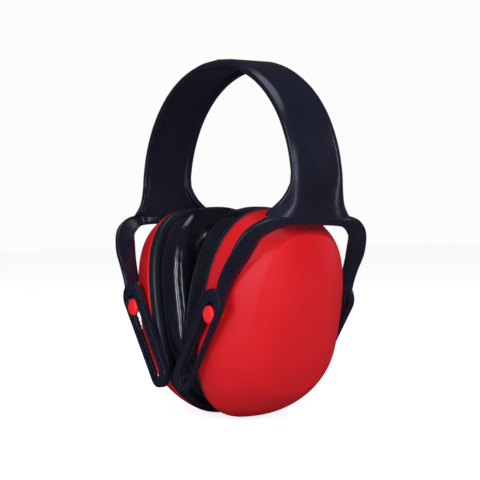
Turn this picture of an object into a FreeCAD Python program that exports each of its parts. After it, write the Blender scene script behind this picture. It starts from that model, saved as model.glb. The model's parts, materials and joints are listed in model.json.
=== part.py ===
import FreeCAD, Part
import math
import os

# Passive earmuff: two ear cups that slide and tilt in a sprung headband with forked ends.
# Millimetres. +Z is up (towards the crown), +X is the wearer's left ear, -Y is the front.
# The origin is midway between the cups, on the plane that the cup bottoms stand on.

V = FreeCAD.Vector
SIDES = {"left": 1, "right": -1}

# Headband, one moulding, listed here as the stretches between its flex stations
BAND_TOP = 181.5
BAND_WALL = 4.4
BAND_WEB = 2.6
BAND_HALF_WIDTH = 15.2
BAND_LIP = 3.6
BAND_BEVEL_WIDTH = 3.4
BAND_BEVEL_DROP = 1.8
CROWN_HALF_SPAN = 26.0
FORK_TOP = 114.0
# Outer line of one half of the band: (distance from the middle, height)
BAND_LINE = [(63.0, 86.0), (67.0, 96.0), (69.3, 105.0), (69.9, 114.0), (69.2, 124.0), (65.6, 138.0),
             (58.0, 152.6), (46.6, 165.1), (32.3, 174.4), (16.2, 179.9), (0.0, BAND_TOP)]

# Fork: a flared crossbar with two legs that carry the slots
FLARE = [(15.6, 110.0), (17.0, 106.5), (19.0, 104.3), (21.4, 102.8)]
CROSSBAR_BOTTOM = 96.2
LEG_LEAN = 34.2
LEG_INNER_Y = 38.0
TRACK_Y = 39.4
LEG_OUTER_Y = 41.2
LEG_OUTBOARD = 6.0
LEG_INBOARD = 8.6
LEG_TOP = 13.0
RIDGE = 1.8
SLOT_WIDTH = 6.2
SLOT_TOP = 6.2
SLIDE_TRAVEL = 38.0
TIP_MARGIN = 6.2
TOOTH_PITCH = 2.4
TOOTH_HEIGHT = 0.5
# Outer face of the bowed strip from flare to slotted plate: front edge point, window edge point
LEG_EDGES = [((67.2, 20.9, 102.8), (66.6, 20.0, 96.2)), ((65.2, 25.6, 101.4), (65.8, 23.0, 95.0)),
             ((62.7, 30.2, 99.2), (64.6, 25.8, 92.8)), ((59.6, 35.2, 95.6), (62.6, 28.8, 89.8)),
             ((56.0, 39.3, 90.4), (60.0, 31.2, 86.2)), ((51.0, 41.6, 81.9), (55.2, 33.0, 79.6)),
             ((45.0, 42.0, 72.0), (50.2, 35.2, 71.4)), ((40.6, 41.6, 65.4), (45.6, 37.4, 64.0))]
STRIP_WALL = 3.0

# Cup, in its own frame: x outwards from the stud axis, z up along the rim, origin on the axis
CUP_TILT = 13.5
PIVOT = V(34.9, 0, 55.0)
RIM_X = -11.0
CUP_HALF_WIDTH = 37.5
CUP_MIDDLE = -9.8
CUP_UP = 59.5
CUP_DOWN = 49.31
CUP_POWER = 2.4
SHELL_WALL = 2.4
SHELL_DEPTH = 35.0
SHELL_STEPS = 9
DOME_DROP = 23.0
DOME_DRAFT = 0.117
DOME_TOP_TAPER = 0.5
DOME_BOTTOM_DROP = 27.0
DOME_BOTTOM_DRAFT = 0.39

# Studs
HEAD_R = 4.6
HEAD_THICK = 2.7
SHANK_R = 2.7
RUNNING_GAP = 0.06
BARB_R = 3.5
BARB_THICK = 2.0
BOSS_R = 5.4
BOSS_INNER_Y = 27.0
BOSS_OUTER_Y = 32.5

# Base plate, cushion and foams, measured inwards (towards the head) from the rim
PLATE_FLANGE = 5.2
PLATE_TAPER = 1.0
PLATE_OPENING = 16.5
SPIGOT_DEPTH = 4.0
SPIGOT_WALL = 2.0
CLIP_INSET = 5.4
CLIP_FROM = 3.2
CUSHION_FROM = 6.4
CUSHION_SKIN = 1.0
CONTACT_X = 0.2
# Cushion ring sections: (distance from the rim, inset of the outside, inset of the hole)
CUSHION_SECTIONS = [(6.4, 3.8, 17.4), (10.0, 3.0, 17.8), (14.0, 3.2, 17.8), (17.5, 4.6, 17.0),
                    (20.0, 6.8, 15.4), (21.4, 9.0, 13.6), (22.0, 11.2, 11.8)]
# Liner foam sections: (distance outwards from the rim, side inset, top inset, bottom inset)
LINER_SECTIONS = [(1.5, 13.5, 13.5, 13.5), (12.0, 14.0, 14.0, 17.0), (22.0, 16.0, 15.0, 25.0)]


def outline_point(angle, inset, top_inset, bottom_inset):
    """A point (y, z) of the cup outline, a superellipse shrunk by its own inset each way."""
    reach = CUP_UP - top_inset if math.sin(angle) > 0 else CUP_DOWN - bottom_inset
    cosine = math.copysign(abs(math.cos(angle)) ** (2 / CUP_POWER), math.cos(angle))
    sine = math.copysign(abs(math.sin(angle)) ** (2 / CUP_POWER), math.sin(angle))
    return (CUP_HALF_WIDTH - inset) * cosine, CUP_MIDDLE + reach * sine


def outline(x, inset, top_inset=None, bottom_inset=None, count=28):
    """The closed cup outline as one smooth wire in the plane at x."""
    insets = [inset if value is None else value for value in (inset, top_inset, bottom_inset)]
    points = []
    for i in range(count):
        y, z = outline_point(2 * math.pi * (i + 0.5) / count, *insets)
        points.append(V(x, y, z))
    curve = Part.BSplineCurve()
    curve.interpolate(Points=points, PeriodicFlag=True)
    return Part.Wire([curve.toShape()])


def loft(sections):
    """A solid through cup outlines given as (x, inset) or (x, inset, top inset, bottom inset)."""
    return Part.makeLoft([outline(*section) for section in sections], True, True)


def ring(sections, hole_inset):
    """A loft of the cup outline with a straight hole of the same form."""
    low = min(x for x, inset in sections) - 1
    high = max(x for x, inset in sections) + 1
    return loft(sections).cut(loft([(low, hole_inset), (high, hole_inset)]))


def place_cup(shape, side):
    """Move a cup piece from the cup's own frame to its tilted place on one side."""
    placed = shape.copy()
    placed.rotate(V(0, 0, 0), V(0, 1, 0), CUP_TILT)
    placed.translate(PIVOT)
    return placed if side > 0 else placed.mirror(V(0, 0, 0), V(1, 0, 0))


def peg(radius, y_low, y_high, x=0.0, z=0.0):
    """A cylinder along +Y."""
    return Part.makeCylinder(radius, y_high - y_low, V(x, y_low, z), V(0, 1, 0))


def both_ends(shape):
    """The shape and its mirror image front to back."""
    return [shape, shape.mirror(V(0, 0, 0), V(0, 1, 0))]


def shell_sections(wall):
    """Dome sections from the rim outwards, offset inwards by the wall."""
    sections = []
    for i in range(SHELL_STEPS):
        part = math.sin(0.5 * math.pi * i / (SHELL_STEPS - 1))
        depth = part * (SHELL_DEPTH - wall)
        round_off = 1 - math.sqrt(1 - 0.96 * part ** 2)
        drop = DOME_DROP * round_off + DOME_DRAFT * depth
        bottom_drop = DOME_BOTTOM_DROP * round_off + DOME_BOTTOM_DRAFT * depth
        sections.append((RIM_X + depth, wall + drop, wall + DOME_TOP_TAPER * drop, wall + bottom_drop))
    return sections


def cup_shell():
    """A deep dome with a boss on each edge that the stud turns in."""
    inner = loft(shell_sections(SHELL_WALL))
    body = loft(shell_sections(0)).cut(inner)
    for boss in both_ends(peg(BOSS_R, BOSS_INNER_Y, BOSS_OUTER_Y)):
        body = body.fuse(boss)
    bore_r = SHANK_R + RUNNING_GAP
    for bore in both_ends(peg(bore_r, BOSS_INNER_Y - 1, BOSS_OUTER_Y + 6)):
        body = body.cut(bore)
    return body.removeSplitter()


def base_plate():
    """Rim flange with the ear opening, a recess for the cushion clip and a spigot into the shell."""
    inner_face = RIM_X - PLATE_FLANGE
    flange = ring([(inner_face, PLATE_TAPER), (RIM_X, 0)], PLATE_OPENING)
    recess = loft([(inner_face - 1, CLIP_INSET), (RIM_X - CLIP_FROM, CLIP_INSET)])
    fit = SHELL_WALL + 0.1 + (DOME_DRAFT + DOME_BOTTOM_DRAFT) * SPIGOT_DEPTH
    spigot = ring([(RIM_X, fit), (RIM_X + SPIGOT_DEPTH, fit)], fit + SPIGOT_WALL)
    return flange.cut(recess).fuse(spigot)


def cushion_clip():
    """Stiff ring bonded to the back of the cushion, which snaps into the base plate."""
    inset = CLIP_INSET + 0.1
    return ring([(RIM_X - CUSHION_FROM, inset), (RIM_X - CLIP_FROM, inset)], PLATE_OPENING)


def cushion_ring(skin):
    """The cushion as a closed ring, shrunk on every side by skin."""
    first = CUSHION_SECTIONS[0][0] + skin
    last = CUSHION_SECTIONS[-1][0] - skin
    outside = []
    hole = []
    for depth, outer, inner in CUSHION_SECTIONS:
        place = RIM_X - min(max(depth, first), last)
        if not outside or abs(place - outside[-1][0]) > 0.01:
            outside.append((place, outer + skin))
            hole.append((place, inner - skin))
    return loft(outside).cut(loft(hole))


def pressed(shape, side, margin):
    """Flatten a placed cushion where it bears on the other one."""
    room = Part.makeBox(200, 200, 400, V(CONTACT_X + margin, -100, -100))
    if side < 0:
        room = room.mirror(V(0, 0, 0), V(1, 0, 0))
    return shape.common(room)


def liner_foam():
    """Sound-absorbing block inside the shell."""
    return loft([(RIM_X + section[0],) + section[1:] for section in LINER_SECTIONS])


def stud():
    """Push-in stud at the rear end: domed head, shank and snap barb."""
    head = peg(HEAD_R, TRACK_Y + 0.1, TRACK_Y + 0.1 + HEAD_THICK)
    rim = [edge for edge in head.Edges if edge.BoundBox.YMin > TRACK_Y + HEAD_THICK]
    head = head.makeFillet(1.2, rim)
    shank = peg(SHANK_R, BOSS_INNER_Y - 0.2, TRACK_Y + 0.2)
    barb = peg(BARB_R, BOSS_INNER_Y - 0.2 - BARB_THICK, BOSS_INNER_Y - 0.2)
    return head.fuse([shank, barb])


def band_curve(depth):
    """The band's line, right round from side to side, moved inwards by depth."""
    half = [V(x, 0, z) for x, z in BAND_LINE]
    points = half + [V(-p.x, 0, p.z) for p in reversed(half[:-1])]
    line = Part.BSplineCurve()
    line.interpolate(Points=points)
    moved = []
    for p in points:
        way = line.tangent(line.parameter(p))[0]
        moved.append(p + V(-way.z, 0, way.x).normalize() * depth)
    curve = Part.BSplineCurve()
    curve.interpolate(Points=moved)
    return curve


def band_layer(near, far, half_width):
    """The stretch between two depths under the band's outer line, extruded across the band."""
    outer = band_curve(near)
    inner = band_curve(far)
    ends = []
    for a, b in ((outer.StartPoint, inner.StartPoint), (outer.EndPoint, inner.EndPoint)):
        ends.append(Part.makeLine(a, b))
    wire = Part.Wire(Part.sortEdges([outer.toShape(), inner.toShape()] + ends)[0])
    face = Part.Face(wire)
    face.translate(V(0, -half_width, 0))
    return face.extrude(V(0, 2 * half_width, 0))


def band_strip():
    """Arch of channel section, open towards the head, with bevelled outer edges."""
    web = band_layer(0, BAND_WEB, BAND_HALF_WIDTH)
    for end in (1, -1):
        web = web.cut(bevel(end))
    arch = web
    for end in (1, -1):
        lip = band_layer(BAND_BEVEL_DROP, BAND_WALL, BAND_LIP / 2)
        lip.translate(V(0, end * (BAND_HALF_WIDTH - BAND_LIP / 2), 0))
        arch = arch.fuse(lip)
    return arch


def bevel(end):
    """The wedge taken off one outer edge of the band, which runs between three rails."""
    clear = 1.0
    crest = BAND_HALF_WIDTH - BAND_BEVEL_WIDTH - clear * BAND_BEVEL_WIDTH / BAND_BEVEL_DROP
    rails = []
    for depth, y in ((-clear, crest), (BAND_BEVEL_DROP, BAND_HALF_WIDTH), (-clear, BAND_HALF_WIDTH + clear)):
        rail = band_curve(depth).toShape()
        rail.translate(V(0, end * y, 0))
        rails.append(rail)
    faces = [Part.makeRuledSurface(rails[i], rails[(i + 1) % 3]) for i in range(3)]
    for vertex in (0, -1):
        corners = [rail.Vertexes[vertex].Point for rail in rails]
        faces.append(Part.Face(Part.makePolygon(corners + corners[:1])))
    return Part.makeSolid(Part.makeShell(faces))


def above(z):
    """Room over a height."""
    return Part.makeBox(400, 200, 200, V(-200, -100, z))


def crown_block():
    """Room between the two crown stations."""
    return Part.makeBox(2 * CROWN_HALF_SPAN, 200, 100, V(-CROWN_HALF_SPAN, -100, 120))


def strand(side):
    """Band from the crown station down to the top of the fork on one side."""
    half = Part.makeBox(200, 200, 400, V(0 if side > 0 else -200, -100, 0))
    return band_strip().common(above(FORK_TOP)).cut(crown_block()).common(half)


def flare_plate():
    """The band's lower end, widening into the crossbar."""
    half_length = FLARE[-1][0]
    outline_yz = [(BAND_HALF_WIDTH, FORK_TOP)] + FLARE + [(half_length, CROSSBAR_BOTTOM)]
    points = [V(0, y, z) for y, z in outline_yz] + [V(0, -y, z) for y, z in reversed(outline_yz)]
    shape = Part.Face(Part.makePolygon(points + points[:1])).extrude(V(100, 0, 0))
    return band_layer(0, BAND_WALL, half_length + 1).common(shape)


def station_wire(index):
    """Section of the bowed strip at one station: its outer edge pair moved in by the wall."""
    front, window = (V(*point) for point in LEG_EDGES[index])
    before = LEG_EDGES[max(index - 1, 0)]
    after = LEG_EDGES[min(index + 1, len(LEG_EDGES) - 1)]
    run = V(*after[0]) + V(*after[1]) - V(*before[0]) - V(*before[1])
    inwards = (window - front).cross(run).normalize() * STRIP_WALL
    if inwards.x > 0:
        inwards = inwards * -1
    corners = [front, window, window + inwards, front + inwards]
    return Part.makePolygon(corners + corners[:1])


def along_leg(distance, y, outboard=0.0):
    """A point in the leg's plane, from the stud down the slot and sideways from its centre line."""
    lean = math.radians(LEG_LEAN)
    x = PIVOT.x - distance * math.sin(lean) + outboard * math.cos(lean)
    z = PIVOT.z - distance * math.cos(lean) - outboard * math.sin(lean)
    return V(x, y, z)


def stadium(top, bottom, inboard, outboard, y_low, y_high):
    """A slanted bar with round ends in the plane of the leg, between two side offsets."""
    radius = (inboard + outboard) / 2
    middle = (outboard - inboard) / 2
    a = top + radius
    b = bottom - radius
    arcs = []
    for end, way in ((a, -1), (b, 1)):
        corners = [along_leg(end, y_low, middle + radius), along_leg(end + way * radius, y_low, middle),
                   along_leg(end, y_low, middle - radius)]
        arcs.append(Part.Arc(*corners).toShape())
    lines = []
    for offset in (middle + radius, middle - radius):
        lines.append(Part.makeLine(along_leg(a, y_low, offset), along_leg(b, y_low, offset)))
    wire = Part.Wire(Part.sortEdges(arcs + lines)[0])
    return Part.Face(wire).extrude(V(0, y_high - y_low, 0))


def slot_teeth():
    """Ratchet teeth along the outboard side of the slot."""
    teeth = []
    half = SLOT_WIDTH / 2
    for i in range(int((SLIDE_TRAVEL - 4) / TOOTH_PITCH)):
        base = 4 + i * TOOTH_PITCH
        corners = [along_leg(base, LEG_INNER_Y, half + 0.1),
                   along_leg(base + TOOTH_PITCH / 2, LEG_INNER_Y, half - 0.6 * TOOTH_HEIGHT),
                   along_leg(base + TOOTH_PITCH, LEG_INNER_Y, half + 0.1)]
        tooth = Part.Face(Part.makePolygon(corners + corners[:1]))
        teeth.append(tooth.extrude(V(0, TRACK_Y - LEG_INNER_Y, 0)))
    return teeth


def slotted_leg():
    """Lower leg at the rear: plate with a recessed, slotted track and a round tip."""
    slot_end = SLIDE_TRAVEL + SLOT_WIDTH / 2 + 0.2
    tip = slot_end + TIP_MARGIN
    half = SLOT_WIDTH / 2
    plate = stadium(-LEG_TOP, tip, LEG_INBOARD, LEG_OUTBOARD, LEG_INNER_Y, LEG_OUTER_Y)
    track = stadium(-SLOT_TOP - RIDGE, slot_end + RIDGE, half + RIDGE, half + RIDGE, TRACK_Y, LEG_OUTER_Y + 1)
    slot = stadium(-SLOT_TOP, slot_end, half, half, LEG_INNER_Y - 1, LEG_OUTER_Y)
    return plate.cut(track).cut(slot).fuse(slot_teeth())


def fork():
    """Flare, crossbar and two legs for the wearer's left side."""
    body = flare_plate()
    strip = Part.makeLoft([station_wire(index) for index in range(len(LEG_EDGES))], True, True)
    for end in (1, -1):
        leg = strip.fuse(slotted_leg())
        if end < 0:
            leg = leg.mirror(V(0, 0, 0), V(0, 1, 0))
        body = body.fuse(leg)
    return body


def mirrored(shape, side):
    """The shape on the wearer's left, or its mirror image on the right."""
    return shape if side > 0 else shape.mirror(V(0, 0, 0), V(1, 0, 0))


def main():
    os.makedirs("parts", exist_ok=True)
    nodes = {"band_crown": band_strip().common(crown_block())}
    cover = cushion_ring(0).cut(cushion_ring(CUSHION_SKIN))
    cup_pieces = {"cup_shell": cup_shell(), "base_plate": base_plate(), "cushion_clip": cushion_clip(),
                  "liner_foam": liner_foam()}
    for name, side in SIDES.items():
        nodes[name + "_strand"] = strand(side)
        nodes[name + "_fork"] = mirrored(fork(), side)
        for end, piece in zip(("rear", "front"), both_ends(stud())):
            nodes[name + "_" + end + "_stud"] = place_cup(piece, side)
        for piece_name, piece in cup_pieces.items():
            nodes[name + "_" + piece_name] = place_cup(piece, side)
        foam = pressed(place_cup(cushion_ring(CUSHION_SKIN), side), side, CUSHION_SKIN)
        nodes[name + "_cushion_foam"] = foam
        nodes[name + "_cushion_cover"] = pressed(place_cup(cushion_ring(0), side), side, 0).cut(foam)
    for node, shape in nodes.items():
        box = shape.BoundBox
        print(node, shape.isValid(), len(shape.Solids), round(shape.Volume),
              [round(v, 1) for v in (box.XMin, box.XMax, box.YMin, box.YMax, box.ZMin, box.ZMax)])
        shape.exportStep("parts/" + node + ".step")


main()
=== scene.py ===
import json
import math

import bmesh
import bpy
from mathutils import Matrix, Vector


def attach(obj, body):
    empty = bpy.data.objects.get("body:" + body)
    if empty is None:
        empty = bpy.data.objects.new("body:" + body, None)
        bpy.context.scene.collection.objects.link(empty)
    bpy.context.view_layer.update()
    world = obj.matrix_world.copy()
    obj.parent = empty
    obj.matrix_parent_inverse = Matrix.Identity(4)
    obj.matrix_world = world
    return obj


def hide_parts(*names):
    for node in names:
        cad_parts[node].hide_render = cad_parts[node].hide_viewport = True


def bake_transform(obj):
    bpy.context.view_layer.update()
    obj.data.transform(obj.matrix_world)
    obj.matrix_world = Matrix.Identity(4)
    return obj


# Over-the-head earmuff. Lengths are in millimetres until a mesh is made, which turns them into metres.
# +Z is up, +X is the wearer's left, -Y is the front.

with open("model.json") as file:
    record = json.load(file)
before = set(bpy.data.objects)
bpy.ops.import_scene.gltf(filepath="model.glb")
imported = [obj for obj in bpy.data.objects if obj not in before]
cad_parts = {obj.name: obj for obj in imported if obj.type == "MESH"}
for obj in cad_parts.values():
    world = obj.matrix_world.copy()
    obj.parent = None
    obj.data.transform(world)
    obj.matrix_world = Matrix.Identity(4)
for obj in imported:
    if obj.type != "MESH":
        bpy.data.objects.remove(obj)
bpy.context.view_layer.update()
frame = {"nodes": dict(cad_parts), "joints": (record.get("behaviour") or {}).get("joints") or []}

MM = 0.001
SIDES = {"left": 1, "right": -1}
ENDS = {"rear": 1, "front": -1}
JOINTS = {joint["name"]: joint for joint in frame["joints"]}
SLIDE_AXIS = Vector(JOINTS["left_slide"]["axis"])
LEG_LEAN = math.atan2(-SLIDE_AXIS.x, -SLIDE_AXIS.z)
PIVOT = Vector(JOINTS["left_tilt"]["pos_m"]) / MM
SLIDE_TRAVEL = JOINTS["left_slide"]["range_m"][1] / MM

# Cup, in its own frame: x outwards from the stud axis, z up along the rim
CUP_TILT = math.radians(13.5)
RIM_X = -11.0
CUP_HALF_WIDTH = 37.4
CUP_MIDDLE = -9.8
CUP_UP = 59.5
CUP_DOWN = 49.2
CUP_POWER_UP = 2.8
CUP_POWER_DOWN = 2.4
CUP_STEPS = 144
SHELL_WALL = 2.4
SHELL_DEPTH = 35.0
SHELL_ROWS = 20
PANEL_ROWS = 18
DOME_DROP = 21.0
DOME_DRAFT = 0.117
DOME_TOP_TAPER = 0.5
DOME_BOTTOM_DROP = 27.0
DOME_BOTTOM_DRAFT = 0.39
DOME_CREASE = 0.82
DOME_FULLNESS = 0.96
PANEL_POWER = 2.8
PANEL_MIDDLE = 17.1

# Base plate section: (x from the rim, inset from the cup outline) and corner reach
RIM_SECTION = [((-0.15, 0.0), 0.5), ((-4.6, 0.7), 1.1), ((-4.6, 5.4), 0.5), ((-3.2, 5.4), 0.2),
               ((-3.2, 16.5), 0.5), ((0.0, 16.5), 0.5), ((0.0, 6.6), 0.2), ((4.0, 6.6), 0.4),
               ((4.0, 4.6), 0.4), ((0.0, 4.6), 0.2), ((0.0, 1.2), 0.2)]

# Push-in stud section: (radius, y), from the domed head down the shank to the barb
STUD_SECTION = [(0.0, 42.2), (2.2, 42.18), (3.1, 42.05), (3.7, 41.8), (4.3, 41.2), (4.45, 40.7), (4.4, 40.2),
                (4.2, 39.95), (2.6, 39.9), (2.5, 39.6), (2.5, 34.4), (2.7, 34.0), (2.7, 27.0), (3.4, 26.8),
                (3.5, 25.9), (2.9, 24.9), (0.0, 24.8)]
STUD_STEPS = 48

# Cushion section: (x, inset from the cup outline) and corner reach
CUSHION_SECTION = [((-16.2, 3.2), 0.9), ((-16.2, 17.6), 1.0), ((-24.0, 18.4), 4.0), ((-32.2, 18.2), 2.2),
                   ((-32.8, 11.5), 4.0), ((-32.5, 3.7), 3.8), ((-26.0, 2.8), 6.0), ((-19.0, 2.8), 1.5)]
# Where the cushions bear on each other: distance from the middle, and depth over which the film turns flat
CONTACT_X = 0.25
CONTACT_SOFTNESS = 1.2
# Cushion as cloth: free from the hold depth towards the head, and held fully a fade further out
HOLD_DEPTH = -20.0
HOLD_FADE = 2.0
# Film: point spacing, furthest move, the scale the simulation runs at, its number of frames and the cloth
# settings
FILM_VOXEL = 1.5
FILM_REACH = 0.45
SIM_SCALE = 10.0
SIM_STEPS = 20
FILM = {"quality": 6, "mass": 0.25, "tension_stiffness": 12, "compression_stiffness": 12,
        "bending_stiffness": 1.0, "use_pressure": True, "uniform_pressure_force": 4.0}

# Headband: outer line of one half, (distance from the middle, height)
BAND_LINE = [(63.0, 86.0), (67.0, 96.0), (69.3, 105.0), (69.9, 114.0), (69.2, 124.0), (65.6, 138.0),
             (58.0, 152.6), (46.6, 165.1), (32.3, 174.4), (16.2, 179.9), (0.0, 181.5)]
BAND_STEPS = 14
BAND_WEB = 2.6
BAND_WEB_GROWTH = 0.35
BAND_WALL = 4.4
BAND_EDGE_WALL = 2.6
BAND_LIP = 3.2
BAND_LIP_DRAFT = 0.3
# Band section down the side: (height, crest, half width, edge depth, crest rounding)
BAND_SECTIONS = [(99.6, 15.5, 25.2, 7.6, 10.0), (101.1, 14.8, 24.2, 8.4, 10.0),
                 (104.5, 13.0, 21.6, 7.7, 9.0), (107.3, 12.0, 19.7, 6.7, 8.0), (110.6, 11.2, 17.9, 5.2, 7.0),
                 (114.5, 10.9, 16.3, 3.6, 5.5), (118.0, 11.2, 15.3, 2.5, 3.5), (124.0, 11.6, 14.9, 1.8, 1.4),
                 (200.0, 11.6, 14.9, 1.8, 0.9)]
CROWN_EDGE_DEPTH = BAND_SECTIONS[-1][3]
SEAM_Z = 150.0
SHARP_ANGLE = math.radians(40.0)
WELD_DISTANCE = 1e-6

# Arch of the fork: outer edge point, window edge point and wall depth, from the middle of the crossbar
ARCH_EDGES = [((68.9, 0.0, 101.3), (67.7, 0.0, 96.9), 5.0), ((68.8, 8.0, 101.2), (67.6, 8.0, 96.9), 5.0),
              ((68.2, 15.5, 101.1), (67.2, 15.0, 96.6), 5.4), ((66.9, 21.5, 101.0), (65.8, 19.8, 95.8), 5.8),
              ((65.3, 26.2, 100.6), (64.4, 22.4, 94.6), 4.6), ((63.4, 30.3, 99.0), (62.2, 24.6, 92.8), 3.6),
              ((60.6, 35.3, 95.5), (59.6, 26.8, 90.6), 2.9), ((57.6, 38.5, 90.8), (56.6, 28.0, 86.2), 2.5),
              ((53.4, 40.6, 83.0), (53.0, 29.6, 80.4), 2.4), ((47.8, 41.5, 75.4), (48.9, 31.4, 74.6), 2.4)]
# Strip beside the stud and down the outboard side of the plate: (across, y) of both edges, and along
STRIP_END = [(0.0, 41.6, 0.6, 32.8, -17.0), (2.2, 41.2, 3.0, 35.0, -11.0), (4.4, 40.8, 5.4, 37.2, -5.0),
             (4.9, 40.7, 5.9, 38.0, 2.0), (4.9, 40.6, 5.6, 38.3, 12.0)]
STRIP_END_WALL = 2.4
ARCH_STEPS = 6
# Chamfer at the window, with the most that it takes of a narrow strip and of a thin wall
ARCH_CHAMFER = 3.2
ARCH_CHAMFER_SHARE = 0.45
ARCH_CHAMFER_DROP = 1.9
ARCH_CHAMFER_DROP_SHARE = 0.5

# Slotted plate at the end of each leg, across the slot and down it from the stud
TRACK_Y = 39.8
PLATE_INNER_Y = 38.0
PLATE_OUTER_Y = 41.4
PLATE_TOP = (-13.0, 8.6, 6.4)
PLATE_TIP = (8.8, 5.0)
PLATE_EDGE = 0.3
SLOT_HALF = 2.8
SLOT_TOP = -5.6
SLOT_PLAY = 0.2
TRACK_RIM = 1.2
TRACK_INSET = 0.4
TRACK_RECESS = 0.2
TRACK_EDGE = 0.12
TIP_MARGIN = 6.4
# Ratchet teeth; where a tooth reaches its full depth and where it ends are shares of the pitch
TEETH_START = 4
TOOTH_PITCH = 2.4
TOOTH_DEPTH = 0.6
TOOTH_RISE = 0.35
TOOTH_END = 0.6


# Points and outlines

CORNER_SHARE = 0.49


def mix(a, b, t):
    """The value a share t of the way from a to b."""
    return a + (b - a) * t


def spline(points, steps):
    """Catmull-Rom curve through points, each a tuple of numbers, with steps points per span."""
    points = [Vector(point) for point in points]
    padded = [2 * points[0] - points[1]] + points + [2 * points[-1] - points[-2]]
    curve = []
    for i in range(1, len(padded) - 2):
        p0, p1, p2, p3 = padded[i - 1:i + 3]
        for step in range(steps):
            t = step / steps
            curve.append(0.5 * (2 * p1 + (p2 - p0) * t + (2 * p0 - 5 * p1 + 4 * p2 - p3) * t ** 2
                                + (3 * p1 - p0 - 3 * p2 + p3) * t ** 3))
    curve.append(points[-1])
    return curve


def rounded(corners, steps=4):
    """Closed outline with each corner (point, reach) rounded off over reach, or just under half its sides."""
    outline = []
    count = len(corners)
    for i, (corner, reach) in enumerate(corners):
        before = corners[i - 1][0] - corner
        after = corners[(i + 1) % count][0] - corner
        a = corner + before.normalized() * min(reach, CORNER_SHARE * before.length)
        b = corner + after.normalized() * min(reach, CORNER_SHARE * after.length)
        for step in range(steps + 1):
            t = step / steps
            outline.append(mix(mix(a, corner, t), mix(corner, b, t), t))
    return outline


def superellipse(angle, half_width, up, down):
    """A point (y, z) on the cup outline."""
    reach, power = (up, CUP_POWER_UP) if math.sin(angle) > 0 else (down, CUP_POWER_DOWN)
    cosine = math.copysign(abs(math.cos(angle)) ** (2 / power), math.cos(angle))
    sine = math.copysign(abs(math.sin(angle)) ** (2 / power), math.sin(angle))
    return half_width * cosine, CUP_MIDDLE + reach * sine


def cup_point(x, y, z):
    """A point of the cup's own frame, in the row frame on the wearer's left."""
    cosine, sine = math.cos(CUP_TILT), math.sin(CUP_TILT)
    return Vector((PIVOT.x + x * cosine + z * sine, y, PIVOT.z + z * cosine - x * sine))


def leg_point(across, along, y):
    """A point of the slotted plate: outboard of the slot's centre line, down it from the stud, and y."""
    cosine, sine = math.cos(LEG_LEAN), math.sin(LEG_LEAN)
    return Vector((PIVOT.x - along * sine + across * cosine, y, PIVOT.z - along * cosine - across * sine))


# Meshes

def clean(mesh, merge=0.0):
    """Turns the faces outwards, after merging points that are nearer than merge, in metres."""
    bm = bmesh.new()
    bm.from_mesh(mesh)
    if merge:
        bmesh.ops.remove_doubles(bm, verts=bm.verts, dist=merge)
    bmesh.ops.recalc_face_normals(bm, faces=bm.faces)
    bm.to_mesh(mesh)
    bm.free()


def build(name, points, faces, side=1, end=1):
    """A smooth-shaded mesh object from millimetre points, mirrored to a side and to the front."""
    mesh = bpy.data.meshes.new(name)
    mesh.from_pydata([(p.x * side * MM, p.y * end * MM, p.z * MM) for p in points], [], faces)
    mesh.validate()
    clean(mesh)
    mesh.shade_smooth()
    piece = bpy.data.objects.new(name, mesh)
    bpy.context.scene.collection.objects.link(piece)
    return piece


def ring_faces(a, b, size):
    """Faces between two rings of size points, which start at index a and index b."""
    return [(a + i, a + (i + 1) % size, b + (i + 1) % size, b + i) for i in range(size)]


def side_faces(rings, size, first=0):
    """Faces along rings of size points each, in order from index first."""
    faces = []
    for ring in range(rings - 1):
        start = first + ring * size
        faces += ring_faces(start, start + size, size)
    return faces


def tube(rings, closed=False):
    """(points, faces) of a tube through rings of points, closed on itself or capped."""
    points = [point for ring in rings for point in ring]
    size = len(rings[0])
    last = len(points) - size
    faces = side_faces(len(rings), size)
    if closed:
        faces += ring_faces(last, 0, size)
    else:
        faces += [tuple(range(size - 1, -1, -1)), tuple(range(last, len(points)))]
    return points, faces


def cup_ring(profile):
    """(points, faces) of a closed profile of (x, inset) carried round the cup outline."""
    rings = []
    for i in range(CUP_STEPS):
        angle = 2 * math.pi * (i + 0.5) / CUP_STEPS
        ring = []
        for p in profile:
            y, z = superellipse(angle, CUP_HALF_WIDTH - p.y, CUP_UP - p.y, CUP_DOWN - p.y)
            ring.append(cup_point(p.x, y, z))
        rings.append(ring)
    return tube(rings, closed=True)


def join(parts):
    """One (points, faces) from several."""
    points = []
    faces = []
    for part_points, part_faces in parts:
        offset = len(points)
        points += part_points
        faces += [tuple(i + offset for i in face) for face in part_faces]
    return points, faces


def plate(outline, hole, y_inner, y_outer, edge):
    """(points, faces) of a flat plate with a hole and rounded edges, lying in the plane of the leg."""
    curve = bpy.data.curves.new("plate_outline", "CURVE")
    curve.dimensions = "2D"
    curve.fill_mode = "BOTH"
    for loop in (outline, hole):
        line = curve.splines.new("POLY")
        line.points.add(len(loop) - 1)
        for point, (across, along) in zip(line.points, loop):
            point.co = (across, along, 0, 1)
        line.use_cyclic_u = True
    curve.extrude = (y_outer - y_inner) / 2 - edge
    curve.bevel_depth = edge
    curve.bevel_resolution = 2
    curve.offset = -edge
    holder = bpy.data.objects.new("plate_outline", curve)
    mesh = bpy.data.meshes.new_from_object(holder)
    middle = (y_inner + y_outer) / 2
    points = [leg_point(v.co.x, v.co.y, middle + v.co.z) for v in mesh.vertices]
    faces = [tuple(face.vertices) for face in mesh.polygons]
    bpy.data.objects.remove(holder)
    bpy.data.curves.remove(curve)
    bpy.data.meshes.remove(mesh)
    return points, faces


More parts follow.
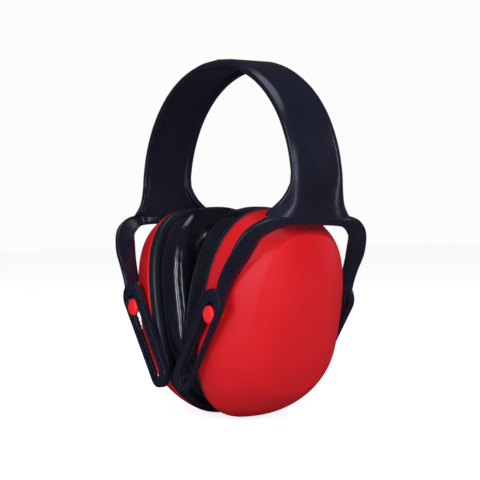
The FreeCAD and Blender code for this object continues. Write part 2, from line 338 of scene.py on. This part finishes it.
def bar_outline(top, bottom, steps=20):
    """Outline of a bar with round ends, each (along, inboard, outboard), as (across, along) points."""
    outline = []
    for (along, inboard, outboard), start, inwards in ((bottom, 0.0, -1), (top, math.pi, 1)):
        radius = (inboard + outboard) / 2
        middle = (outboard - inboard) / 2
        centre = along + inwards * radius
        for i in range(steps + 1):
            angle = start + math.pi * i / steps
            outline.append((middle + radius * math.cos(angle), centre + radius * math.sin(angle)))
    return outline


# Materials. Noise scales are in cells per metre, and bump distances in metres.

# The floor's own glow, which only the camera sees
FLOOR_GLOW = 0.80


def new_material(name):
    """A new node material: (material, nodes, links, shader, object coordinates)."""
    material = bpy.data.materials.new(name)
    material.use_nodes = True
    nodes = material.node_tree.nodes
    shader = nodes["Principled BSDF"]
    coordinates = nodes.new("ShaderNodeTexCoord").outputs["Object"]
    return material, nodes, material.node_tree.links, shader, coordinates


def noise(nodes, links, coordinates, scale, detail=3.0):
    """A noise texture's factor."""
    texture = nodes.new("ShaderNodeTexNoise")
    texture.inputs["Scale"].default_value = scale
    texture.inputs["Detail"].default_value = detail
    links.new(coordinates, texture.inputs["Vector"])
    return texture.outputs["Fac"]


def ranged(nodes, links, value, low, high, start=0.3, stop=0.7):
    """The value mapped onto low..high."""
    node = nodes.new("ShaderNodeMapRange")
    node.inputs["From Min"].default_value = start
    node.inputs["From Max"].default_value = stop
    node.inputs["To Min"].default_value = low
    node.inputs["To Max"].default_value = high
    links.new(value, node.inputs["Value"])
    return node.outputs["Result"]


def blend_colors(nodes, links, factor, low, high):
    """A colour between two, by a factor; low may be another node's output."""
    node = nodes.new("ShaderNodeMix")
    node.data_type = "RGBA"
    if isinstance(low, bpy.types.NodeSocket):
        links.new(low, node.inputs["A"])
    else:
        node.inputs["A"].default_value = (*low, 1)
    node.inputs["B"].default_value = (*high, 1)
    links.new(factor, node.inputs["Factor"])
    return node.outputs["Result"]


def cells(nodes, links, coordinates, scale):
    """A cell texture's distance from the middle of each cell."""
    texture = nodes.new("ShaderNodeTexVoronoi")
    texture.inputs["Scale"].default_value = scale
    links.new(coordinates, texture.inputs["Vector"])
    return texture.outputs["Distance"]


def bumps(nodes, links, shader, layers):
    """Chains (height, strength, distance) bumps into the shader's normal."""
    normal = None
    for height, strength, distance in layers:
        node = nodes.new("ShaderNodeBump")
        node.inputs["Strength"].default_value = strength
        node.inputs["Distance"].default_value = distance
        links.new(height, node.inputs["Height"])
        if normal is not None:
            links.new(normal, node.inputs["Normal"])
        normal = node.outputs["Normal"]
    links.new(normal, shader.inputs["Normal"])


def moulded_plastic(name, dark, light, worn, roughness, grain, specular):
    """Moulded plastic: cloudy tone, fine grain, faint flow marks and edges rubbed by handling."""
    material, nodes, links, shader, coordinates = new_material(name)
    cloud = ranged(nodes, links, noise(nodes, links, coordinates, scale=55.0), 0.0, 1.0)
    body = blend_colors(nodes, links, cloud, dark, light)
    pointiness = nodes.new("ShaderNodeNewGeometry").outputs["Pointiness"]
    edge = ranged(nodes, links, pointiness, 0.0, 1.0, start=0.58, stop=0.70)
    scuff = nodes.new("ShaderNodeMath")
    scuff.operation = "MULTIPLY"
    links.new(edge, scuff.inputs[0])
    patches = noise(nodes, links, coordinates, scale=420.0)
    links.new(ranged(nodes, links, patches, 0.0, 0.55), scuff.inputs[1])
    links.new(blend_colors(nodes, links, scuff.outputs[0], body, worn), shader.inputs["Base Color"])
    smear = noise(nodes, links, coordinates, scale=140.0, detail=4.0)
    links.new(ranged(nodes, links, smear, roughness - 0.02, roughness + 0.03), shader.inputs["Roughness"])
    shader.inputs["Specular IOR Level"].default_value = specular
    fine = noise(nodes, links, coordinates, scale=2600.0, detail=2.0)
    flow = noise(nodes, links, coordinates, scale=90.0, detail=2.0)
    bumps(nodes, links, shader, [(fine, grain, 0.00006), (flow, 0.015, 0.0002)])
    return material


def vinyl(name):
    """Glossy black cushion film: soft leather grain, slow waviness and a thin clear skin."""
    material, nodes, links, shader, coordinates = new_material(name)
    cloud = ranged(nodes, links, noise(nodes, links, coordinates, scale=40.0), 0.0, 1.0)
    links.new(blend_colors(nodes, links, cloud, (0.0040, 0.0042, 0.0065), (0.0070, 0.0072, 0.0105)),
              shader.inputs["Base Color"])
    smear = noise(nodes, links, coordinates, scale=120.0, detail=4.0)
    links.new(ranged(nodes, links, smear, 0.14, 0.20), shader.inputs["Roughness"])
    shader.inputs["Coat Weight"].default_value = 0.25
    shader.inputs["Coat Roughness"].default_value = 0.08
    grain = cells(nodes, links, coordinates, scale=900.0)
    wave = noise(nodes, links, coordinates, scale=70.0, detail=2.0)
    bumps(nodes, links, shader, [(grain, 0.01, 0.00002), (wave, 0.02, 0.0003)])
    return material


def foam(name, dark, light, scale):
    """Open-cell foam: pores of two sizes, with painted shade darkening each pore towards its middle."""
    material, nodes, links, shader, coordinates = new_material(name)
    pores = cells(nodes, links, coordinates, scale)
    # Painted shade: the tone darkens towards each pore's middle, as if the pore were shaded inside.
    depth = ranged(nodes, links, pores, 0.0, 1.0, start=0.1, stop=0.6)
    links.new(blend_colors(nodes, links, depth, dark, light), shader.inputs["Base Color"])
    shader.inputs["Roughness"].default_value = 0.95
    shader.inputs["Sheen Weight"].default_value = 0.25
    fine = noise(nodes, links, coordinates, scale=2.4 * scale)
    bumps(nodes, links, shader, [(pores, 0.8, 0.0004), (fine, 0.3, 0.0002)])
    return material


def floor_material():
    """Matt pale studio paper, with a glow of its own to look at and a dark tone that only glossy rays see:
    painted shade in the object's reflections.
    """
    material, nodes, links, shader, coordinates = new_material("floor_paper")
    cloud = ranged(nodes, links, noise(nodes, links, coordinates, scale=8.0), 0.0, 1.0)
    ray = nodes.new("ShaderNodeLightPath")
    paper = blend_colors(nodes, links, cloud, (0.78, 0.78, 0.78), (0.82, 0.82, 0.82))
    # Painted shade: glossy rays see the paper as dark grey-blue, so the object's reflections of the floor
    # come out dark.
    links.new(blend_colors(nodes, links, ray.outputs["Is Glossy Ray"], paper, (0.07, 0.07, 0.10)),
              shader.inputs["Base Color"])
    shader.inputs["Roughness"].default_value = 0.9
    shader.inputs["Emission Color"].default_value = (1, 1, 1, 1)
    glow = ranged(nodes, links, ray.outputs["Is Camera Ray"], 0.0, FLOOR_GLOW, start=0.0, stop=1.0)
    links.new(glow, shader.inputs["Emission Strength"])
    return material


# Moulded plastics: dark, light and rubbed tone, roughness, grain strength and specular level
PLASTICS = {
    "headband_black": ((0.0075, 0.0078, 0.0150), (0.0100, 0.0104, 0.0195), (0.020, 0.021, 0.032),
                       0.25, 0.08, 0.40),
    "shell_red": ((0.60, 0.004, 0.007), (0.65, 0.006, 0.010), (0.66, 0.025, 0.025), 0.44, 0.16, 0.26),
    "stud_red": ((0.88, 0.010, 0.010), (0.94, 0.016, 0.014), (0.88, 0.06, 0.05), 0.40, 0.12, 0.35),
    "base_plate_black": ((0.0070, 0.0090, 0.0125), (0.010, 0.0130, 0.0175), (0.035, 0.035, 0.045),
                         0.34, 0.15, 0.45),
}
# Foams: painted shade tone inside the pores, tone of the face and pore scale
FOAMS = {
    "cushion_foam": ((0.20, 0.18, 0.12), (0.62, 0.58, 0.44), 700.0),
    "liner_foam": ((0.015, 0.015, 0.016), (0.10, 0.10, 0.105), 500.0),
}
MATERIALS = {name: moulded_plastic(name, *values) for name, values in PLASTICS.items()}
MATERIALS["cushion_vinyl"] = vinyl("cushion_vinyl")
MATERIALS.update({name: foam(name, *values) for name, values in FOAMS.items()})


def paint(piece, slot_name):
    """Gives a piece its material and nothing else."""
    piece.data.materials.clear()
    piece.data.materials.append(MATERIALS[slot_name])


def dress(piece, body, slot_name, *nodes):
    """Gives a new piece its material, hides the CAD nodes it stands for and, when a body is given, hangs it
    on that body.
    """
    paint(piece, slot_name)
    if body:
        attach(piece, body)
    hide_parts(*nodes)


# Cup pieces

def dome_rows(wall):
    """(x, half width, up, down) of the dome's rows from the rim to the crease round its outer panel."""
    rows = []
    for i in range(SHELL_ROWS):
        part = math.sin(math.asin(DOME_CREASE) * i / (SHELL_ROWS - 1))
        depth = part * (SHELL_DEPTH - wall)
        round_off = 1 - math.sqrt(1 - DOME_FULLNESS * part ** 2)
        side = DOME_DROP * round_off + DOME_DRAFT * depth
        bottom = DOME_BOTTOM_DROP * round_off + DOME_BOTTOM_DRAFT * depth
        rows.append((RIM_X + depth, CUP_HALF_WIDTH - wall - side, CUP_UP - wall - DOME_TOP_TAPER * side,
                     CUP_DOWN - wall - bottom))
    return rows


def dome_skin(wall):
    """Rings of the dome from the rim over its crowned panel, and the point at the panel's middle."""
    rings = []
    for x, half_width, up, down in dome_rows(wall):
        outline = [superellipse(2 * math.pi * (i + 0.5) / CUP_STEPS, half_width, up, down)
                   for i in range(CUP_STEPS)]
        rings.append([cup_point(x, y, z) for y, z in outline])
    # x and outline now belong to the crease, from where the panel goes on
    middle = CUP_MIDDLE + PANEL_MIDDLE
    crown = RIM_X + SHELL_DEPTH - wall - x
    for row in range(1, PANEL_ROWS):
        share = math.cos(0.5 * math.pi * row / PANEL_ROWS)
        rise = crown * (1 - share ** PANEL_POWER)
        rings.append([cup_point(x + rise, y * share, mix(middle, z, share)) for y, z in outline])
    return rings, cup_point(x + crown, 0, middle)


def skin_faces(first, rings, pole):
    """Faces along the rings of a dome that start at index first, closed at its pole."""
    last = first + (rings - 1) * CUP_STEPS
    cap = [(last + i, last + (i + 1) % CUP_STEPS, pole) for i in range(CUP_STEPS)]
    return side_faces(rings, CUP_STEPS, first) + cap


def cup_shell(name, side):
    """Deep dome with an outer and an inner skin, joined round the rim."""
    outer, outer_pole = dome_skin(0)
    inner, inner_pole = dome_skin(SHELL_WALL)
    points = [p for ring in outer + inner for p in ring] + [outer_pole, inner_pole]
    half = len(outer) * CUP_STEPS
    faces = skin_faces(0, len(outer), 2 * half) + skin_faces(half, len(inner), 2 * half + 1)
    faces += ring_faces(0, half, CUP_STEPS)
    return build(name + "_shell_dome", points, faces, side)


def base_plate(name, side):
    """Rim flange with rounded edges, clip recess, ear opening and spigot."""
    profile = rounded([(Vector((RIM_X + x, inset)), reach) for (x, inset), reach in RIM_SECTION], steps=3)
    return build(name + "_rim_plate", *cup_ring(profile), side)


def stud(name, end_name, side):
    """Push-in stud turned about its axis: domed head, shank, and barb."""
    points = []
    for radius, y in STUD_SECTION[1:-1]:
        for i in range(STUD_STEPS):
            angle = 2 * math.pi * i / STUD_STEPS
            points.append(Vector((PIVOT.x + radius * math.cos(angle), y, PIVOT.z + radius * math.sin(angle))))
    faces = side_faces(len(STUD_SECTION) - 2, STUD_STEPS)
    top = len(points)
    points += [Vector((PIVOT.x, STUD_SECTION[end][1], PIVOT.z)) for end in (0, -1)]
    last = top - STUD_STEPS
    for i in range(STUD_STEPS):
        j = (i + 1) % STUD_STEPS
        faces.append((j, i, top))
        faces.append((last + i, last + j, top + 1))
    return build(name + "_" + end_name + "_push_stud", points, faces, side, ENDS[end_name])


# Cushions

def cushion(name, side):
    """Padded ring: a slightly slack ring of film, blown up by cloth simulation and pressed at the contact."""
    profile = rounded([(Vector(point), reach) for point, reach in CUSHION_SECTION])
    piece = build(name + "_cushion", *cup_ring(profile), side)
    inflate(piece)
    press(piece, side)
    even = piece.modifiers.new("even", "SMOOTH")
    even.factor = 0.5
    even.iterations = 12
    smooth = piece.modifiers.new("smooth", "SUBSURF")
    smooth.levels = 1
    smooth.render_levels = 1
    return piece


def inflate(piece):
    """Remeshes a piece and inflates it as cloth with its back held; no point moves over FILM_REACH."""
    for v in piece.data.vertices:
        v.co *= SIM_SCALE
    remesh = piece.modifiers.new("remesh", "REMESH")
    remesh.mode = "VOXEL"
    remesh.voxel_size = FILM_VOXEL * MM * SIM_SCALE
    apply_modifiers(piece)
    rest = [v.co.copy() for v in piece.data.vertices]
    held = piece.vertex_groups.new(name="held")
    for v in piece.data.vertices:
        held.add([v.index], back_hold(v.co / SIM_SCALE / MM), "REPLACE")
    cloth = piece.modifiers.new("cloth", "CLOTH")
    for setting, value in FILM.items():
        setattr(cloth.settings, setting, value)
    cloth.settings.vertex_group_mass = "held"
    cloth.settings.effector_weights.gravity = 0
    scene = bpy.context.scene
    for step in range(1, SIM_STEPS + 1):
        scene.frame_set(step)
    apply_modifiers(piece)
    scene.frame_set(1)
    limit = FILM_REACH * MM * SIM_SCALE
    for v, start in zip(piece.data.vertices, rest):
        move = v.co - start
        if move.length > limit:
            move *= limit / move.length
        v.co = (start + move) / SIM_SCALE
    piece.data.shade_smooth()


def back_hold(point):
    """How firmly a point is held: fully at the clip behind the cushion, not at all in front of it."""
    mirrored = Vector((abs(point.x), point.y, point.z))
    depth = (mirrored - PIVOT).dot(Vector((math.cos(CUP_TILT), 0, -math.sin(CUP_TILT))))
    return min(max((depth - HOLD_DEPTH) / HOLD_FADE, 0.0), 1.0)


def apply_modifiers(piece):
    """Turns what the modifiers show into the piece's mesh."""
    graph = bpy.context.evaluated_depsgraph_get()
    made = bpy.data.meshes.new_from_object(piece.evaluated_get(graph))
    piece.modifiers.clear()
    piece.data = made


def press(piece, side):
    """Flattens the cushion softly where it bears on the other one."""
    for v in piece.data.vertices:
        x = v.co.x * side / MM - CONTACT_X
        if x < CONTACT_SOFTNESS:
            v.co.x = side * MM * (CONTACT_X + CONTACT_SOFTNESS * math.exp(x / CONTACT_SOFTNESS - 1))


# Headband

def band_stations():
    """(point, inward normal) along one half of the band, from the middle of the crown to the crossbar."""
    curve = spline([(x, 0.0, z) for x, z in reversed(BAND_LINE)], BAND_STEPS)
    mirror = Vector((-curve[1].x, 0, curve[1].z))
    stations = []
    for i, point in enumerate(curve):
        if point.z < BAND_SECTIONS[0][0]:
            break
        before = curve[i - 1] if i else mirror
        run = curve[i + 1] - before
        stations.append((point, Vector((run.z, 0, -run.x)).normalized()))
    return stations


def band_values(z):
    """Crest, half width, edge depth and crest rounding at a height."""
    for low, high in zip(BAND_SECTIONS, BAND_SECTIONS[1:]):
        if z <= high[0]:
            t = min(max((z - low[0]) / (high[0] - low[0]), 0.0), 1.0)
            return [mix(a, b, t) for a, b in zip(low[1:], high[1:])]
    return BAND_SECTIONS[-1][1:]


def band_ring(point, normal):
    """Closed channel section at one station."""
    crest, half, drop, rounding = band_values(point.z)
    floor = max(BAND_WALL, drop + BAND_EDGE_WALL)
    web = BAND_WEB + BAND_WEB_GROWTH * (drop - CROWN_EDGE_DEPTH)
    corners = [((crest, 0.0), rounding), ((half, drop), 0.7), ((half, floor), 0.9),
               ((half - BAND_LIP, floor), 0.8), ((half - BAND_LIP - BAND_LIP_DRAFT, web), 0.9)]
    corners += [((-y, depth), reach) for (y, depth), reach in reversed(corners)]
    outline = rounded([(Vector(corner), reach) for corner, reach in corners])
    return [point + normal * depth + Vector((0, y, 0)) for y, depth in outline]


def arch_ring(edge, window, wall, run):
    """Closed section of the arch strip: face, chamfer at the window, and walls."""
    across = window - edge
    normal = across.cross(run).normalized()
    if normal.x > 0:
        normal = -normal
    width = across.length
    across.normalize()
    chamfer = min(ARCH_CHAMFER, ARCH_CHAMFER_SHARE * width)
    drop = min(ARCH_CHAMFER_DROP, ARCH_CHAMFER_DROP_SHARE * wall)
    corners = [(edge, 0.9), (edge + across * (width - chamfer), 0.5), (window + normal * drop, 0.7),
               (window + normal * wall, 1.2), (edge + normal * wall, 1.2)]
    return rounded(corners)


def arch_strip():
    """(points, faces) of the strip over the window, down both legs and along the slotted plates."""
    stations = [(*edge, *window, wall) for edge, window, wall in ARCH_EDGES]
    for across, y, window_across, window_y, along in STRIP_END:
        stations.append((*leg_point(across, along, y), *leg_point(window_across, along, window_y),
                         STRIP_END_WALL))
    half = spline(stations, ARCH_STEPS)
    front = [Vector((p[0], -p[1], p[2], p[3], -p[4], p[5], p[6])) for p in reversed(half[1:])]
    whole = front + half
    middles = [(Vector(p[0:3]) + Vector(p[3:6])) / 2 for p in whole]
    rings = []
    for i, p in enumerate(whole):
        run = middles[min(i + 1, len(middles) - 1)] - middles[max(i - 1, 0)]
        rings.append(arch_ring(Vector(p[0:3]), Vector(p[3:6]), p[6], run))
    return tube(rings)


def toothed_slot(bottom):
    """Slot outline with ratchet teeth along its outboard side."""
    outline = bar_outline((SLOT_TOP, SLOT_HALF, SLOT_HALF), (bottom, SLOT_HALF, SLOT_HALF))
    teeth = []
    for i in range(int((SLIDE_TRAVEL - TEETH_START) / TOOTH_PITCH)):
        along = TEETH_START + i * TOOTH_PITCH
        teeth += [(SLOT_HALF, along), (SLOT_HALF - TOOTH_DEPTH, along + TOOTH_RISE * TOOTH_PITCH),
                  (SLOT_HALF - TOOTH_DEPTH, along + TOOTH_END * TOOTH_PITCH)]
    return outline + teeth


def slotted_plate():
    """(points, faces) of the plate for the rear leg: thin toothed floor inside a raised rim."""
    slot_end = SLIDE_TRAVEL + SLOT_HALF + SLOT_PLAY
    tip = slot_end + TIP_MARGIN
    outline = bar_outline(PLATE_TOP, (tip, *PLATE_TIP))
    inner = bar_outline([PLATE_TOP[0] + TRACK_INSET] + [reach - TRACK_INSET for reach in PLATE_TOP[1:]],
                        [tip - TRACK_INSET] + [reach - TRACK_INSET for reach in PLATE_TIP])
    reach = SLOT_HALF + TRACK_RIM
    track = bar_outline((SLOT_TOP - TRACK_RIM, reach, reach), (slot_end + TRACK_RIM, reach, reach))
    floor = plate(inner, toothed_slot(slot_end), PLATE_INNER_Y + TRACK_RECESS, TRACK_Y, TRACK_EDGE)
    rim = plate(outline, track, PLATE_INNER_Y, PLATE_OUTER_Y, PLATE_EDGE)
    return join([floor, rim])


def mirror_front(part):
    """(points, faces) of the same part on the front leg."""
    points, faces = part
    return [Vector((p.x, -p.y, p.z)) for p in points], [tuple(reversed(face)) for face in faces]


def headband(name, side):
    """Upper half band from the crown to the seam, and the lower band with its fork."""
    stations = band_stations()
    seam = next(i for i, (point, normal) in enumerate(stations) if point.z < SEAM_Z)
    upper = tube([band_ring(*station) for station in stations[:seam + 1]])
    lower = tube([band_ring(*station) for station in stations[seam:]])
    leg = slotted_plate()
    fork = join([lower, arch_strip(), leg, mirror_front(leg)])
    top = build(name + "_band_upper", *upper, side)
    bottom = build(name + "_band_fork", *fork, side)
    clean(bottom.data, WELD_DISTANCE)
    bottom.data.shade_smooth()
    for piece in (top, bottom):
        piece.data.set_sharp_from_angle(angle=SHARP_ANGLE)
    dress(top, None, "headband_black", "band_crown", name + "_strand")
    dress(bottom, None, "headband_black", name + "_strand", name + "_fork")
    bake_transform(top)
    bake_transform(bottom)


# Whole object

# CAD nodes that stay, with the slot that each takes its finish from
KEPT_NODES = {"cushion_clip": "base_plate_black", "cushion_foam": "cushion_foam", "liner_foam": "liner_foam"}


def make_side(name, side):
    """Everything on one side of the head, from the middle of the crown down."""
    cup = name + "_cup"
    dress(cup_shell(name, side), cup, "shell_red", name + "_cup_shell")
    dress(base_plate(name, side), cup, "base_plate_black", name + "_base_plate")
    pad = cushion(name, side)
    dress(pad, cup, "cushion_vinyl", name + "_cushion_cover")
    for end_name in ENDS:
        dress(stud(name, end_name, side), name + "_studs", "stud_red", name + "_" + end_name + "_stud")
    headband(name, side)
    for node, slot_name in KEPT_NODES.items():
        paint(frame["nodes"][name + "_" + node], slot_name)


# Studio, in metres

FLOOR_SIZE = 6.0
FLOOR_GAP = 0.0004
FOOT_LEANS = range(-50, 51, 10)

WHITE = (1.0, 1.0, 1.0)
WARM = (1.0, 0.98, 0.97)
COOL = (0.78, 0.80, 1.0)
# Background light: (colour, strength) to light the object, in its reflections, and to look at
ROOM = ((0.90, 0.92, 1.0), 0.20)
MIRRORED_ROOM = ((0.80, 0.84, 1.0), 0.06)
BACKDROP = (WHITE, 0.97)
# Lights: name, place, height aimed at, width, length, power, colour and whether reflections show it
LIGHTS = [
    ("key", (0.95, -0.20, 0.55), 0.08, 0.6, 0.6, 5.4, WARM, False),
    ("fill", (0.35, -1.0, 0.6), 0.08, 0.5, 0.5, 1.4, COOL, True),
    ("strip_front", (0.08, -0.95, 0.20), 0.09, 0.045, 0.8, 3.0, COOL, True),
    ("strip_side", (0.36, -0.88, 0.20), 0.09, 0.04, 0.8, 2.6, COOL, True),
    ("strip_rear", (0.45, 0.85, 0.30), 0.09, 0.05, 0.8, 1.5, COOL, True),
    ("strip_crest", (0.88, -0.37, 0.24), 0.10, 0.06, 0.8, 1.9, COOL, True),
    ("top", (0.05, -0.1, 0.95), 0.1, 0.5, 0.5, 2.4, COOL, True),
]

CAMERA_AIM = Vector((0, 0, 0.084))
CAMERA_AZIMUTH = math.radians(55)
CAMERA_ELEVATION = math.radians(1.5)
CAMERA_DISTANCE = 0.763
CAMERA_LENS = {"sensor_width": 36, "lens": 111.6, "shift_x": 0.0065, "shift_y": 0.0233, "clip_start": 0.01}


def area_light(name, place, aim_height, width, length, power, color, mirrored):
    """A soft light; mirrored says whether glossy surfaces show its reflection."""
    data = bpy.data.lights.new(name, "AREA")
    data.shape = "RECTANGLE"
    data.size = width
    data.size_y = length
    data.energy = power
    data.color = color
    light = bpy.data.objects.new(name, data)
    light.location = place
    light.rotation_euler = (Vector((0, 0, aim_height)) - Vector(place)).to_track_quat("-Z", "Y").to_euler()
    light.visible_glossy = mirrored
    bpy.context.scene.collection.objects.link(light)


def background(node, color, strength):
    """Sets a background node and returns its output."""
    node.inputs["Color"].default_value = (*color, 1)
    node.inputs["Strength"].default_value = strength
    return node.outputs[0]


def choose(nodes, links, factor, otherwise, chosen):
    """One of two backgrounds, by a factor of 0 or 1."""
    node = nodes.new("ShaderNodeMixShader")
    for source, target in zip((factor, otherwise, chosen), node.inputs):
        links.new(source, target)
    return node.outputs[0]


def studio_world():
    """A white backdrop to look at, a dim room to light the object and a darker one for its reflections."""
    world = bpy.data.worlds.new("studio")
    world.use_nodes = True
    nodes = world.node_tree.nodes
    links = world.node_tree.links
    room = background(nodes["Background"], *ROOM)
    mirrored_room = background(nodes.new("ShaderNodeBackground"), *MIRRORED_ROOM)
    backdrop = background(nodes.new("ShaderNodeBackground"), *BACKDROP)
    ray = nodes.new("ShaderNodeLightPath")
    unseen = choose(nodes, links, ray.outputs["Is Glossy Ray"], room, mirrored_room)
    surface = choose(nodes, links, ray.outputs["Is Camera Ray"], unseen, backdrop)
    links.new(surface, nodes["World Output"].inputs["Surface"])
    return world


def feet(name):
    """Empties at the points of a cup that come lowest at one lean or another; they ride with it."""
    points = []
    for node in ("_cup_shell", "_base_plate"):
        points += [v.co for v in frame["nodes"][name + node].data.vertices]
    made = []
    for i, degrees in enumerate(FOOT_LEANS):
        lean = math.radians(degrees)
        down = Vector((math.sin(lean), 0, -math.cos(lean)))
        foot = bpy.data.objects.new(f"{name}_foot_{i}", None)
        foot.location = max(points, key=down.dot)
        bpy.context.scene.collection.objects.link(foot)
        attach(foot, name + "_cup")
        made.append(foot)
    return made


def keep_under(floor, foot):
    """Lets the floor sink, so that a cup that slides down stands on it and not in it."""
    limit = floor.constraints.new("FLOOR")
    limit.target = foot
    limit.floor_location = "FLOOR_NEGATIVE_Z"
    limit.offset = -FLOOR_GAP


def studio():
    """Pale floor, soft lights all round and the camera."""
    bpy.ops.mesh.primitive_plane_add(size=FLOOR_SIZE, location=(0, 0, -FLOOR_GAP))
    floor = bpy.context.object
    floor.name = "floor"
    floor.data.materials.append(floor_material())
    for name in SIDES:
        for foot in feet(name):
            keep_under(floor, foot)
    bpy.context.scene.world = studio_world()
    bpy.context.scene.view_settings.view_transform = "Standard"
    for light in LIGHTS:
        area_light(*light)
    camera()


def camera():
    """The camera, on its azimuth and elevation about the aim."""
    back = Vector((math.sin(CAMERA_AZIMUTH) * math.cos(CAMERA_ELEVATION),
                   -math.cos(CAMERA_AZIMUTH) * math.cos(CAMERA_ELEVATION), math.sin(CAMERA_ELEVATION)))
    data = bpy.data.cameras.new("camera")
    for setting, value in CAMERA_LENS.items():
        setattr(data, setting, value)
    holder = bpy.data.objects.new("camera", data)
    holder.location = CAMERA_AIM + back * CAMERA_DISTANCE
    holder.rotation_euler = (-back).to_track_quat("-Z", "Y").to_euler()
    bpy.context.scene.collection.objects.link(holder)
    bpy.context.scene.camera = holder


for side_name, side_sign in SIDES.items():
    make_side(side_name, side_sign)
studio()
